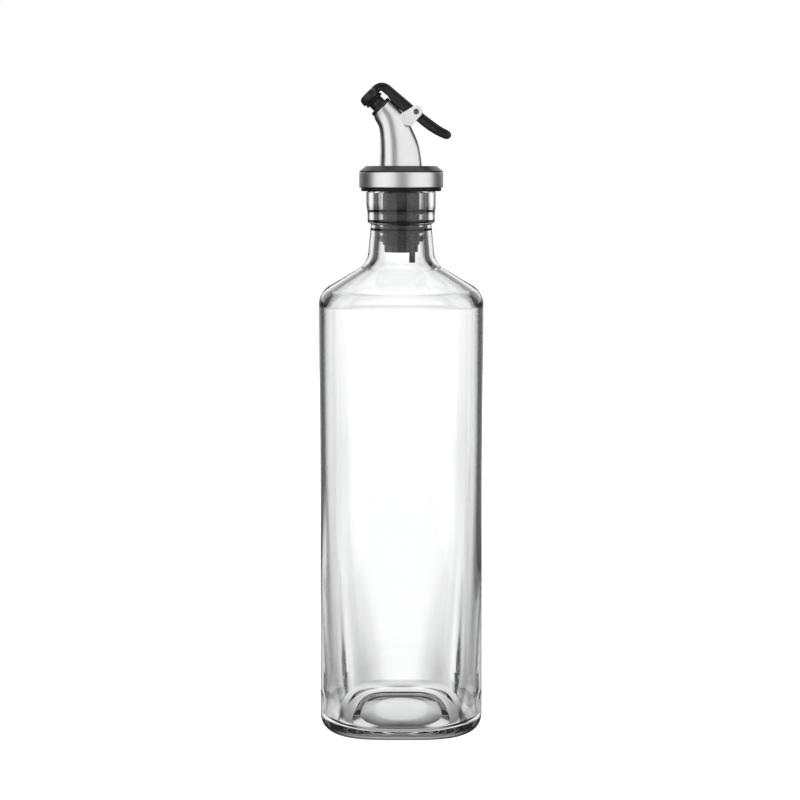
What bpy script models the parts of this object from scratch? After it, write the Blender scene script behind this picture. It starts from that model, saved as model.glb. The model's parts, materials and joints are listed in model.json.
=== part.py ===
"""Square glass oil bottle with a sprung lever pourer in its neck.

The bottle stands on z = 0 with its axis on Z. The pourer's spout leans towards -X and its
thumb lever reaches out over +X. Lengths are in millimetres here, and the functions that make
objects multiply them by MM.
"""
import math

import bmesh
import bpy
from mathutils import Vector

MM = 0.001
GLASS_SIDES = 48                  # points round the glass
ROUND = 32                        # points round a turned piece
EXACT_MERGE = 0.00001             # metres

# Glass
BODY_HALF = 33.35                 # half the width across two flat sides, at the shoulder
WAIST_HALF = 33.25                # the sides are a little hollow between shoulder and heel
HEEL_HALF = 33.85
GLASS_HEIGHT = 221.0
SHOULDER_Z = 179.9                # where the sloping shoulder would meet the side
NECK_ROOT_Z = 192.1               # where the slope would meet the neck
NECK_ROOT_R = 13.35
NECK_TOP_R = 12.25                # just under the finish ring
FINISH_Z = 208.3                  # underside of the finish ring
FINISH_LOW_R = 13.65
FINISH_R = 14.15
BORE_R = 9.1
WALL = 2.4
FLOOR_Z = 3.5
PUSH_UP = 1.7                     # hollow under the base
SQUARENESS = 3.3                  # 2 is a circle, and more is squarer

# Collar stack on the rim
GAP = 0.3
WASHER_R = 16.3
WASHER_Z = (GLASS_HEIGHT + GAP, 222.2)
BAND_R = 17.0
BAND_Z = (222.5, 228.6)
BAND_SHEET = 0.45
CAP_TOP_R = 14.25
CAP_Z = (222.5, 231.1)

# Plug
CORE_R = 6.3
CORE_FOOT_R = 6.85
CORE_FOOT_Z = (196.4, 199.3)
CORE_TOP_Z = 229.4
SLEEVE_R = (6.6, 7.5)
SLEEVE_Z = (199.6, 221.0)
FIN_ROOTS_Z = (211.8, 207.4, 203.8, 200.4)
FIN_R = 8.85
FIN_RISE = 2.2                    # the bore bends each fin's edge upwards
AIR_TUBE_X = 4.5
AIR_TUBE_R = (0.75, 1.25)
AIR_TUBE_Z = (191.2, 228.6)

# Spout
SPOUT_WALL = 1.0
SPOUT_FOOT_Z = CAP_Z[1] + GAP
MOUTH = Vector((-7.76, 0.0, 254.16))
MOUTH_R = 4.55
AIM = Vector((-math.sqrt(0.5), 0.0, math.sqrt(0.5)))     # the way the spout pours
NOZZLE_X = -1.5
NOZZLE_FOOT_Z = 223.4
NOZZLE_R = 3.1
NOZZLE_BORE_R = 2.2
NOZZLE_BEND_R = 14.0
FLANGE_R = 4.6
FLANGE_AT = (GAP, 1.4)            # distances from the mouth along AIM
TIP_END = 3.9

# Lever
PIN = Vector((6.02, 0.0, 252.68))
PIN_R = 1.05
PIN_HALF = 3.75
PIN_HOLE_R = PIN_R + GAP
EAR_R = 2.46
EAR_Y = (2.5, 3.6)
LEVER_HALF = 2.2                  # half its thickness along the pin
BOSS_R = 2.2
HEAD_R = 4.45
HEAD_AT = (5.2, 8.6)              # distances from the mouth along AIM
SEAL_AT = (TIP_END + GAP, HEAD_AT[0] - GAP)
SEAL_R = 4.0
SEAL_STEM_R = 1.2
SEAL_STEM_END = 6.6
SLOT_HALF = 1.05
SLOT_R = 2.25

# Return spring, coiled on the pin inside the lever's slot
COIL_R = 1.7
WIRE_R = 0.175
COIL_HALF = 0.6
COIL_TURNS = 2                    # whole turns, before the part turn between the legs
SPOUT_LEG_ANGLE = math.radians(-126.9)
TAIL_LEG_ANGLE = math.radians(-40.5)
SPOUT_LEG = 4.6
TAIL_LEG = 6.4


# ---------------------------------------------------------------- scene and materials

def clear_scene():
    for old in list(bpy.data.objects):
        bpy.data.objects.remove(old)


def new_collection(name):
    made = bpy.data.collections.new(name)
    bpy.context.scene.collection.children.link(made)
    return made


def plain_material(name, colour, roughness, metallic=0.0, transmission=0.0):
    made = bpy.data.materials.new(name)
    made.use_nodes = True
    shader = made.node_tree.nodes["Principled BSDF"]
    shader.inputs["Base Color"].default_value = (*colour, 1.0)
    shader.inputs["Roughness"].default_value = roughness
    shader.inputs["Metallic"].default_value = metallic
    shader.inputs["Transmission Weight"].default_value = transmission
    return made


def place(name, data, collection, material=None, smooth_angle=35):
    made = bpy.data.objects.new(name, data)
    collection.objects.link(made)
    if material is not None:
        data.materials.append(material)
    if isinstance(data, bpy.types.Mesh) and data.polygons:
        data.shade_smooth()
        data.set_sharp_from_angle(angle=math.radians(smooth_angle))
    return made


def as_guide(obj):
    obj.hide_render = True
    obj.display_type = "WIRE"
    return obj


# ---------------------------------------------------------------- outlines

def arc(centre, radius, start, end, steps):
    """Points (x, z) round a centre, from one angle to another."""
    return [
        (centre[0] + radius * math.cos(start + (end - start) * i / steps),
         centre[1] + radius * math.sin(start + (end - start) * i / steps))
        for i in range(steps + 1)
    ]


def rounded(corners, step=math.radians(30)):
    """An open outline through (x, z, radius) corners, with each radius turned as an arc."""
    points = [corners[0][:2]]
    for before, corner, after in zip(corners, corners[1:], corners[2:]):
        at = Vector(corner[:2])
        back = (Vector(before[:2]) - at).normalized()
        on = (Vector(after[:2]) - at).normalized()
        inside = back.angle(on)
        if corner[2] == 0 or inside > math.pi - 0.001:
            points.append(tuple(at))
            continue
        centre = at + (back + on).normalized() * corner[2] / math.sin(inside / 2)
        reach = corner[2] / math.tan(inside / 2)
        first, last = at + back * reach - centre, at + on * reach - centre
        start = math.atan2(first.y, first.x)
        turn = first.angle_signed(last) * -1
        steps = max(1, math.ceil(abs(turn) / step))
        points += arc(centre, corner[2], start, start + turn, steps)
    return points + [corners[-1][:2]]


def smooth_through(points, steps=4):
    """An open outline on a Catmull-Rom curve through the points."""
    ends = [points[0]] + list(points) + [points[-1]]
    out = []
    for a, b, c, d in zip(ends, ends[1:], ends[2:], ends[3:]):
        for i in range(steps):
            t = i / steps
            out.append(tuple(
                0.5 * (2 * q + (r - p) * t + (2 * p - 5 * q + 4 * r - s) * t * t
                       + (3 * q - p - 3 * r + s) * t ** 3)
                for p, q, r, s in zip(a, b, c, d)))
    return out + [tuple(points[-1])]


# ---------------------------------------------------------------- builders

def turned(name, profile, collection, material=None, steps=ROUND):
    """A (radius, z) profile turned round local Z. It runs down its outer side, and one that
    keeps off the axis is a closed loop."""
    mesh = bpy.data.meshes.new(name)
    ring = all(r > 0 for r, _ in profile)
    count = len(profile)
    edges = [(i, (i + 1) % count) for i in range(count if ring else count - 1)]
    mesh.from_pydata([(r * MM, 0.0, z * MM) for r, z in profile], edges, [])
    made = place(name, mesh, collection, material)
    screw = made.modifiers.new("turn", "SCREW")
    screw.angle = math.tau
    screw.steps = screw.render_steps = steps
    screw.use_merge_vertices = True
    screw.merge_threshold = EXACT_MERGE
    screw.use_smooth_shade = True
    return made


def aim_along(obj, distance=0.0):
    """Puts an object's local Z on the spout's pouring line."""
    obj.location = (MOUTH + AIM * distance) * MM
    obj.rotation_euler = (0.0, math.radians(-45), 0.0)
    return obj


def lofted(name, rings, collection, material=None, hollow=False):
    """Faces between rings of points. A hollow one joins its last ring to its first, and a
    solid one is capped."""
    shape = bmesh.new()
    rows = [[shape.verts.new(Vector(p) * MM) for p in ring] for ring in rings]
    pairs = list(zip(rows, rows[1:]))
    if hollow:
        pairs.append((rows[-1], rows[0]))
    else:
        shape.faces.new(rows[0])
        shape.faces.new(rows[-1])
    for low, high in pairs:
        count = len(low)
        for i in range(count):
            j = (i + 1) % count
            shape.faces.new((low[i], low[j], high[j], high[i]))
    bmesh.ops.recalc_face_normals(shape, faces=shape.faces)
    mesh = bpy.data.meshes.new(name)
    shape.to_mesh(mesh)
    shape.free()
    return place(name, mesh, collection, material)


def plate(name, outline, half, collection, material=None, middle=0.0):
    """A flat (x, z) outline, half thick each way from y = middle, as a mesh."""
    curve = bpy.data.curves.new(name, "CURVE")
    curve.dimensions = "2D"
    curve.fill_mode = "BOTH"
    curve.extrude = half * MM
    spline = curve.splines.new("POLY")
    spline.points.add(len(outline) - 1)
    spline.use_cyclic_u = True
    for point, (x, z) in zip(spline.points, outline):
        point.co = (x * MM, z * MM, 0.0, 1.0)
    flat = bpy.data.objects.new(name, curve)
    collection.objects.link(flat)
    flat.location = (0.0, middle * MM, 0.0)
    flat.rotation_euler = (math.radians(90), 0.0, 0.0)
    return meshed(flat, collection, material)


def meshed(flat, collection, material):
    """Makes a curve object a welded mesh object of the same name and place."""
    bpy.context.view_layer.update()
    name, matrix = flat.name, flat.matrix_world.copy()
    graph = bpy.context.evaluated_depsgraph_get()
    mesh = bpy.data.meshes.new_from_object(flat.evaluated_get(graph))
    bpy.data.objects.remove(flat)
    shape = bmesh.new()
    shape.from_mesh(mesh)
    bmesh.ops.remove_doubles(shape, verts=shape.verts, dist=EXACT_MERGE)
    bmesh.ops.recalc_face_normals(shape, faces=shape.faces)
    shape.to_mesh(mesh)
    shape.free()
    mesh.materials.clear()
    made = place(name, mesh, collection, material)
    made.matrix_world = matrix
    return made


def cross_pin(name, radius, half, collection, material=None, steps=24):
    """A round bar along Y on the lever's pin axis."""
    shape = bmesh.new()
    bmesh.ops.create_cone(shape, cap_ends=True, segments=steps, radius1=radius * MM,
                          radius2=radius * MM, depth=2 * half * MM)
    mesh = bpy.data.meshes.new(name)
    shape.to_mesh(mesh)
    shape.free()
    made = place(name, mesh, collection, material)
    made.location = PIN * MM
    made.rotation_euler = (math.radians(90), 0.0, 0.0)
    return made


def combine(obj, other, operation):
    change = obj.modifiers.new(other.name, "BOOLEAN")
    change.operation = operation
    change.object = as_guide(other)
    change.solver = "EXACT"


# ---------------------------------------------------------------- glass

def squareness(half):
    """Round at the neck's width, and squarer the wider the section is."""
    share = min(max((half - NECK_ROOT_R) / (28.0 - NECK_ROOT_R), 0.0), 1.0)
    return 2.0 + (SQUARENESS - 2.0) * share * share * (3.0 - 2.0 * share)


def inner_squareness(half, z):
    """The inside is rounder, most of all near the base, where the corners are thick."""
    share = min(max(1.0 - (z - FLOOR_Z) / 95.0, 0.0), 1.0)
    power = squareness(half) - 0.2 - 0.85 * share * share * (3.0 - 2.0 * share)
    return max(power, 2.0)


def glass_ring(half, z, power):
    ring = []
    for i in range(GLASS_SIDES):
        angle = math.tau * i / GLASS_SIDES
        c, s = math.cos(angle), math.sin(angle)
        reach = half / (abs(c) ** power + abs(s) ** power) ** (1 / power)
        ring.append((reach * c, reach * s, z))
    return ring


def glass_bottle(collection, material):
    outside = rounded([
        (BORE_R, GLASS_HEIGHT, 0),
        (FINISH_R, GLASS_HEIGHT, 0.9),
        (FINISH_R, 215.6, 8),
        (FINISH_LOW_R, 212.2, 8),
        (FINISH_LOW_R, FINISH_Z, 1.0),
        (NECK_TOP_R, FINISH_Z - 0.4, 0.6),
        (13.3, 197.5, 12),
        (NECK_ROOT_R, NECK_ROOT_Z, 6),
        (BODY_HALF, SHOULDER_Z, 5.5),
        (BODY_HALF, 160.0, 0),
        (WAIST_HALF, 110.0, 0),
        ((WAIST_HALF + HEEL_HALF) / 2, 60.0, 0),
        (HEEL_HALF, 0.0, 4.6),
        (23.6, 0.0, 0),
        (20.4, 1.1, 0),
        (14.0, PUSH_UP, 0),
        (7.0, PUSH_UP, 0),
    ])
    inside = rounded([
        (8.0, FLOOR_Z, 0),
        (20.0, FLOOR_Z - 0.1, 0),
        (HEEL_HALF - WALL - 0.5, FLOOR_Z - 0.2, 6),
        (WAIST_HALF - WALL, 35.0, 0),
        (WAIST_HALF - WALL, 60.0, 0),
        (WAIST_HALF - WALL, 110.0, 0),
        (BODY_HALF - WALL, 160.0, 0),
        (BODY_HALF - WALL, SHOULDER_Z - 1.6, 4),
        (10.4, NECK_ROOT_Z - 1.2, 7),
        (BORE_R, 203.0, 12),
        (BORE_R, GLASS_HEIGHT - 1.0, 0),
    ])
    rings = [glass_ring(half, z, squareness(half)) for half, z in reversed(outside)]
    rings += [glass_ring(half, z, inner_squareness(half, z)) for half, z in reversed(inside)]
    return lofted("glass_bottle", rings, collection, material)


# ---------------------------------------------------------------- collar and plug

def seal_washer(collection, material):
    low, high = WASHER_Z
    profile = rounded([(CORE_FOOT_R + 0.9, high, 0), (WASHER_R, high, 0.4),
                       (WASHER_R, low, 0.4), (CORE_FOOT_R + 0.9, low, 0)])
    return turned("seal_washer", profile, collection, material)


def collar_band(collection, material):
    low, high = BAND_Z
    lip = BAND_R - 1.2
    profile = rounded([
        (BAND_R - BAND_SHEET, high, 0), (BAND_R, high, 0.2), (BAND_R, low, 0.9),
        (lip, low, 0), (lip, low + BAND_SHEET, 0),
        (BAND_R - BAND_SHEET, low + BAND_SHEET, 0.45), (BAND_R - BAND_SHEET, high, 0),
    ])[:-1]
    return turned("collar_band", profile, collection, material)


def collar_cap(collection, material):
    low, high = CAP_Z
    inner = BAND_R - BAND_SHEET - GAP
    foot = BAND_R - 1.2 - GAP
    bore = CORE_R + GAP
    profile = rounded([
        (bore, high, 0), (CAP_TOP_R, high, 0.5), (BAND_R, BAND_Z[1] + GAP + 0.1, 0.3),
        (BAND_R - 0.1, BAND_Z[1] + GAP, 0), (inner, BAND_Z[1] + GAP, 0),
        (inner, low + BAND_SHEET + GAP, 0), (foot, low + BAND_SHEET + GAP, 0),
        (foot, low, 0), (bore, low, 0),
    ])
    return turned("collar_cap", profile, collection, material)


def plug_core(collection, cutters, material):
    """A stepped stem with an oil bore on one side and an air-tube bore on the other."""
    low, step = CORE_FOOT_Z
    profile = [(0, CORE_TOP_Z), (CORE_R, CORE_TOP_Z), (CORE_R, step), (CORE_FOOT_R, step),
               (CORE_FOOT_R, low + 0.4), (CORE_FOOT_R - 0.4, low), (0, low)]
    core = turned("plug_core", profile, collection, material)
    for name, x, radius in (("oil_bore", NOZZLE_X, NOZZLE_R + 0.5),
                            ("air_bore", AIR_TUBE_X, AIR_TUBE_R[1] + 0.2)):
        bore = turned(name, [(0, 240), (radius, 240), (radius, 180), (0, 180)], cutters,
                      steps=24)
        bore.location.x = x * MM
        combine(core, bore, "DIFFERENCE")
    return core


def stopper_sleeve(collection, material):
    """A tube with thin fins whose edges stand higher than their roots."""
    inner, outer = SLEEVE_R
    low, high = SLEEVE_Z
    profile = [(inner, high), (outer, high)]
    for root in FIN_ROOTS_Z:
        edge = root + FIN_RISE
        profile += [(outer, root + 0.8), (FIN_R - 0.25, edge), (FIN_R, edge - 0.3),
                    (outer, root)]
    profile += [(outer, low), (inner, low)]
    return turned("stopper_sleeve", profile, collection, material)


def air_tube(collection, material):
    inner, outer = AIR_TUBE_R
    low, high = AIR_TUBE_Z
    tube = turned("air_tube", [(inner, high), (outer, high), (outer, low), (inner, low)],
                  collection, material, steps=16)
    tube.location.x = AIR_TUBE_X * MM
    return tube


# ---------------------------------------------------------------- spout

def spout_stations():
    """(front, back, half width, egg) up the spout: the points (x, z) on its front and back
    lines, its half width across, and how much blunter its front is than its back."""
    across = Vector((math.sqrt(0.5), math.sqrt(0.5))) * MOUTH_R
    mouth = Vector((MOUTH.x, MOUTH.z))
    return [
        ((-8.75, SPOUT_FOOT_Z), (8.42, SPOUT_FOOT_Z), 6.7, 0.42),
        ((-8.50, 235.6), (7.80, 235.8), 6.2, 0.42),
        ((-8.40, 240.0), (6.75, 240.6), 5.7, 0.40),
        ((-8.55, 243.8), (5.10, 244.6), 5.3, 0.34),
        ((-8.95, 246.6), (3.30, 248.3), 5.0, 0.24),
        ((-9.75, 248.3), (0.90, 251.8), 4.8, 0.12),
        ((-10.50, 249.6), (-1.75, 254.75), 4.6, 0.04),
        (tuple(mouth - across), tuple(mouth + across), MOUTH_R, 0.0),
    ]


def egg_ring(front, back, half, egg, inset=0.0, count=28):
    """An egg-shaped ring across the spout, drawn in by inset all round."""
    front, back = Vector(front), Vector(back)
    middle, reach = (front + back) / 2, (back - front) / 2
    reach *= (reach.length - inset) / reach.length
    widest = max(math.sin(a) * (1 + egg * math.cos(a))
                 for a in (math.pi * i / 90 for i in range(91)))
    ring = []
    for i in range(count):
        angle = math.tau * i / count
        along = -math.cos(angle)
        side = math.sin(angle) * (1 - egg * along) / widest
        at = middle + reach * along
        ring.append((at.x, (half - inset) * side, at.y))
    return ring


def ear_outline():
    """Round the pin, and back into the spout's flank."""
    upper, lower = math.radians(122), math.radians(-46)
    ends = [(-2.6, 250.2), (0.0, 247.4), (3.9, 247.1)]
    return arc((PIN.x, PIN.z), EAR_R, lower, upper, 10) + ends


def spout_shell(collection, cutters, material):
    stations = spout_stations()
    shell = lofted("spout_shell", [egg_ring(*s) for s in stations], collection, material)
    for name, side in (("near_ear", -1), ("far_ear", 1)):
        ear = plate(name, ear_outline(), (EAR_Y[1] - EAR_Y[0]) / 2, cutters,
                    middle=side * (EAR_Y[0] + EAR_Y[1]) / 2)
        combine(shell, ear, "UNION")
    bore = [egg_ring(*s, inset=SPOUT_WALL) for s in stations]
    below = [(x, y, z - 2.0) for x, y, z in bore[0]]
    beyond = [(x + AIM.x * 2.0, y, z + AIM.z * 2.0) for x, y, z in bore[-1]]
    combine(shell, lofted("spout_bore", [below] + bore + [beyond], cutters), "DIFFERENCE")
    combine(shell, cross_pin("ear_hole", PIN_HOLE_R, 6.0, cutters), "DIFFERENCE")
    return shell


def nozzle_line(steps=6):
    """(middle, direction) from the foot of the nozzle, round its bend, to the mouth."""
    turn = math.radians(45)
    lead = (NOZZLE_X - MOUTH.x - NOZZLE_BEND_R * (1 - math.cos(turn))) / math.sin(turn)
    bend_z = MOUTH.z - NOZZLE_BEND_R * math.sin(turn) - lead * math.cos(turn)
    line = [(Vector((NOZZLE_X, 0, NOZZLE_FOOT_Z)), Vector((0, 0, 1)))]
    for i in range(steps + 1):
        a = turn * i / steps
        middle = Vector((NOZZLE_X - NOZZLE_BEND_R * (1 - math.cos(a)), 0,
                         bend_z + NOZZLE_BEND_R * math.sin(a)))
        line.append((middle, Vector((-math.sin(a), 0, math.cos(a)))))
    return line


def round_ring(middle, direction, radius, count=20):
    across = Vector((direction.z, 0, -direction.x))
    ring = []
    for i in range(count):
        angle = math.tau * i / count
        ring.append(middle + across * radius * math.cos(angle)
                    + Vector((0, radius * math.sin(angle), 0)))
    return ring


def pour_nozzle(collection, material):
    """A bent tube with a flange on the spout's mouth and a short tip beyond it."""
    line = nozzle_line()
    outside = [(m, d, NOZZLE_R) for m, d in line]
    outside += [(MOUTH + AIM * at, AIM, radius) for at, radius in (
        (FLANGE_AT[0], NOZZLE_R), (FLANGE_AT[0], FLANGE_R - 0.3),
        (FLANGE_AT[0] + 0.3, FLANGE_R), (FLANGE_AT[1] - 0.3, FLANGE_R),
        (FLANGE_AT[1], FLANGE_R - 0.3), (FLANGE_AT[1], NOZZLE_R), (TIP_END, NOZZLE_R))]
    inside = [(MOUTH + AIM * TIP_END, AIM, NOZZLE_BORE_R)]
    inside += [(m, d, NOZZLE_BORE_R) for m, d in reversed(line)]
    rings = [round_ring(*station) for station in outside + inside]
    return lofted("pour_nozzle", rings, collection, material, hollow=True)


# ---------------------------------------------------------------- lever

def lever_outline():
    """The lever seen from the side, from inside its head, over the arm, round the tail and
    back under the pin to the head."""
    over = rounded([(-13.3, 260.7, 0), (-8.1, 266.05, 5.0), (4.8, 255.2, 0)],
                   step=math.radians(12))
    tail_top = smooth_through([(6.6, 253.7), (8.75, 252.1), (12.5, 249.25),
                               (16.1, 246.75), (19.0, 245.25)])
    tip = arc((18.5, 243.5), 1.65, math.radians(70), math.radians(-100), 7)
    tail_under = smooth_through([(17.3, 242.05), (13.8, 243.7), (9.7, 246.3),
                                 (6.0, 249.3)])
    under = [(1.1, 252.5), (-5.3, 258.95), (-8.3, 261.3), (-11.2, 258.6)]
    return over + tail_top + tip + tail_under + under


def slot_outline():
    """The slot that holds the spring: round the coil, and open underneath for its legs."""
    tail = Vector((math.cos(TAIL_LEG_ANGLE), math.sin(TAIL_LEG_ANGLE)))
    under = Vector((tail.y, -tail.x))
    pin = Vector((PIN.x, PIN.z))
    ceiling = 1.2
    near = math.sqrt(SLOT_R ** 2 - ceiling ** 2)
    start = TAIL_LEG_ANGLE - math.atan2(ceiling, near)
    far = pin + tail * (TAIL_LEG + 0.8) + under * ceiling
    around = arc(pin, SLOT_R, start, math.radians(190), 18)
    return around + [(3.6, 246.0), tuple(far + under * 3.4), tuple(far)]


def lever(collection, cutters, material):
    body = plate("lever", lever_outline(), LEVER_HALF, collection, material)
    low, high = HEAD_AT
    head = aim_along(turned("lever_head", rounded([
        (0, high, 0), (HEAD_R, high - 0.1, 1.5), (HEAD_R, low, 0.4), (0, low, 0)]), cutters))
    combine(body, head, "UNION")
    combine(body, cross_pin("lever_boss", BOSS_R, LEVER_HALF, cutters), "UNION")
    socket = aim_along(turned("seal_socket", [
        (0, SEAL_STEM_END + GAP), (SEAL_STEM_R + GAP, SEAL_STEM_END + GAP),
        (SEAL_STEM_R + GAP, low - 2), (0, low - 2)], cutters, steps=24))
    combine(body, socket, "DIFFERENCE")
    combine(body, plate("spring_slot", slot_outline(), SLOT_HALF, cutters), "DIFFERENCE")
    combine(body, cross_pin("lever_hole", PIN_HOLE_R, 6.0, cutters), "DIFFERENCE")
    return body


def lever_seal(collection, material):
    """A rubber disc that shuts the nozzle's tip, with a stem in the lever's head."""
    low, high = SEAL_AT
    profile = [(0, SEAL_STEM_END)] + rounded([
        (SEAL_STEM_R, SEAL_STEM_END, 0), (SEAL_STEM_R, high, 0), (SEAL_R, high, 0.2),
        (SEAL_R, low, 0.3), (0, low, 0)])
    return aim_along(turned("lever_seal", profile, collection, material, steps=24))


def in_plane(angle, length):
    """A step in the XZ plane, at an angle above +X."""
    return Vector((math.cos(angle), 0, math.sin(angle))) * length


def spring_line():
    """The wire's middle: up the leg on the spout, round the coil, and out along the tail."""
    first = SPOUT_LEG_ANGLE + math.radians(90)
    last = TAIL_LEG_ANGLE - math.radians(90) + math.tau * (COIL_TURNS + 1)
    steps = math.ceil((last - first) / math.radians(20))
    coil = []
    for i in range(steps + 1):
        share = i / steps
        across = Vector((0, COIL_HALF * (2 * share - 1), 0))
        coil.append(PIN + in_plane(first + (last - first) * share, COIL_R) + across)
    spout_leg = [coil[0] + in_plane(SPOUT_LEG_ANGLE, SPOUT_LEG * i / 3) for i in (3, 2, 1)]
    tail_leg = [coil[-1] + in_plane(TAIL_LEG_ANGLE, TAIL_LEG * i / 3) for i in (1, 2, 3)]
    return spout_leg + coil + tail_leg


def return_spring(collection, material):
    wire = bpy.data.curves.new("return_spring", "CURVE")
    wire.dimensions = "3D"
    wire.bevel_depth = WIRE_R * MM
    wire.bevel_resolution = 2
    wire.use_fill_caps = True
    points = spring_line()
    spline = wire.splines.new("POLY")
    spline.points.add(len(points) - 1)
    for point, at in zip(spline.points, points):
        point.co = (*(at * MM), 1.0)
    return place("return_spring", wire, collection, material)


# ---------------------------------------------------------------- assembly

def pivot(name, location, collection):
    made = bpy.data.objects.new(name, None)
    made.location = location * MM
    made.empty_display_size = 0.01
    collection.objects.link(made)
    return made


def hang(parent, pieces):
    """Parents pieces to an empty without moving them."""
    bpy.context.view_layer.update()
    for piece in pieces:
        piece.parent = parent
        piece.matrix_parent_inverse = parent.matrix_world.inverted()


def main():
    clear_scene()
    parts = new_collection("glass_oil_bottle")
    cutters = new_collection("cutters")
    glass = plain_material("clear_glass", (0.95, 0.97, 0.96), 0.02, transmission=1.0)
    steel = plain_material("brushed_steel", (0.72, 0.72, 0.73), 0.3, metallic=1.0)
    spout_metal = plain_material("satin_metal", (0.80, 0.80, 0.81), 0.32, metallic=1.0)
    plastic = plain_material("black_plastic", (0.02, 0.02, 0.022), 0.35)
    rubber = plain_material("black_rubber", (0.025, 0.025, 0.025), 0.6)
    dark_steel = plain_material("dark_steel", (0.08, 0.08, 0.09), 0.35, metallic=1.0)

    glass_bottle(parts, glass)
    fixed = [
        seal_washer(parts, rubber),
        collar_band(parts, steel),
        collar_cap(parts, plastic),
        plug_core(parts, cutters, plastic),
        stopper_sleeve(parts, rubber),
        air_tube(parts, plastic),
        spout_shell(parts, cutters, spout_metal),
        pour_nozzle(parts, plastic),
        cross_pin("hinge_pin", PIN_R, PIN_HALF, parts, dark_steel),
        return_spring(parts, steel),
    ]
    moving = [
        lever(parts, cutters, plastic),
        lever_seal(parts, rubber),
    ]
    hang(pivot("pourer_slide", Vector((0, 0, GLASS_HEIGHT)), parts), fixed)
    hang(pivot("lever_pivot", PIN, parts), moving)


main()
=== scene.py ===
"""The looks of the glass oil bottle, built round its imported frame.

Lengths are in millimetres, and the functions that make objects multiply them by MM. The bottle
stands on z = 0, the spout leans towards -X, and the lever's tail reaches out over +X.
"""
import json
import math

import bmesh
import bpy
from mathutils import Matrix, Vector

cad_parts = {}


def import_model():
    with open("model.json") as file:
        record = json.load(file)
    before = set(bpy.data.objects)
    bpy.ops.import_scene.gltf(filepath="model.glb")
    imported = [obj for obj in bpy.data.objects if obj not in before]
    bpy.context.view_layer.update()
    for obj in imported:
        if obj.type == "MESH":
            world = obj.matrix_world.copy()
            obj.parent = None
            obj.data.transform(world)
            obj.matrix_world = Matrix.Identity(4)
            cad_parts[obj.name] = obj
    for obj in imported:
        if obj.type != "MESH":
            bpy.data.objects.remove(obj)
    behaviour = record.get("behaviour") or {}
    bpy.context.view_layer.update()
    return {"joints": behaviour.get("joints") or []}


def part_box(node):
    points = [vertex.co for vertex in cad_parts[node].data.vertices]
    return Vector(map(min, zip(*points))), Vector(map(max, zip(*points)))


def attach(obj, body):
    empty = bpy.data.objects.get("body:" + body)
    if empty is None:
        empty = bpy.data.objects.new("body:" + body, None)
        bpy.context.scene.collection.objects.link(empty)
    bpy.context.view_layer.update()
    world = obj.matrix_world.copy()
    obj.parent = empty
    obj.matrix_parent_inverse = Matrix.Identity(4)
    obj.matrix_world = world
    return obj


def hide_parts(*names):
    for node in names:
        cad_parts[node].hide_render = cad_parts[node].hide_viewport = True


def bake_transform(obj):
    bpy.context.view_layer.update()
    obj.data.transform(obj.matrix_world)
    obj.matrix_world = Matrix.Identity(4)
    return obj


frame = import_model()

MM = 0.001
AROUND = 128                      # points round a turned piece
GLASS_AROUND = 240
FINE = math.radians(6)            # one step of an arc


def size_of(node):
    """A CAD node's lowest and highest corners, in millimetres."""
    low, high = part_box(node)
    return Vector(low) / MM, Vector(high) / MM


def joint(name):
    return next(j for j in frame["joints"] if j["name"] == name)


# ---------------------------------------------------------------- sizes

GLASS_HIGH = size_of("glass_bottle")[1]
GLASS_TOP = GLASS_HIGH.z
HEEL_HALF = GLASS_HIGH.x          # half the width across two flat sides
SHOULDER_HALF = HEEL_HALF - 0.5
WAIST_HALF = HEEL_HALF - 0.6
SHOULDER_Z = 179.9                # where the sloping shoulder would meet the side
NECK_ROOT = (13.35, 192.1)        # where the slope would meet the neck
NECK_TOP_R = 12.25
FINISH_Z = 208.3                  # underside of the finish ring
FINISH_LOW_R = 13.65
FINISH_R = 14.15
BORE_R = 9.1
WALL = 2.4
FLOOR_Z = 3.3                     # top of the glass floor
PUSH_UP = 1.7                     # hollow under the base
SQUARENESS = 3.3                  # 2 is a circle, and more is squarer
SQUARE_HALF = 28.0                # the half width from which a section is fully square
THICK_CORNERS_Z = 95.0            # the thick inside corners fade out over this height

BAND_LOW, BAND_HIGH = size_of("collar_band")
BAND_R = BAND_HIGH.x
CAP_HIGH = size_of("collar_cap")[1]
CAP_TOP_R = 14.25
WASHER_R = size_of("seal_washer")[1].x

CORE_LOW, CORE_HIGH = size_of("plug_core")
CORE_FOOT_R = CORE_HIGH.x
CORE_R = CORE_FOOT_R - 0.55
CORE_STEP_Z = 199.45              # top of the wider foot
SLEEVE_R = 7.5
FIN_ROOTS_Z = (211.8, 207.4, 203.8, 200.4)
FIN_RISE = 2.2
FIN_R = BORE_R + 0.06             # the rubber presses on the glass
AIR_LOW, AIR_HIGH = size_of("air_tube")
AIR_R = AIR_HIGH.y
AIR_AXIS = Matrix.Translation(((AIR_LOW.x + AIR_HIGH.x) / 2, 0, 0))

MOUTH = Vector((-7.76, 0.0, 254.16))
MOUTH_R = 4.55
AIM = Vector((-math.sqrt(0.5), 0.0, math.sqrt(0.5)))     # the way the spout pours
SPOUT_WALL = 0.9
NOZZLE_X = -1.5
NOZZLE_R = 3.1
NOZZLE_BORE_R = 2.2
NOZZLE_BEND_R = 14.0
FLANGE_R = 4.6
TIP_END = 3.9                     # distance from the mouth along AIM

PIN = Vector(joint("lever_tilt")["pos_m"]) / MM
PIN_HALF = size_of("hinge_pin")[1].y
PIN_R = 1.05
EAR_R = 2.46
EAR_Y = (2.5, 3.6)
LEVER_HALF = 2.2
HEAD_R = size_of("lever")[1].y
HEAD_AT = (5.2, 8.6)              # distances from the mouth along AIM
SEAL_AT = (TIP_END + 0.05, HEAD_AT[0])
SEAL_R = 4.0

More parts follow.
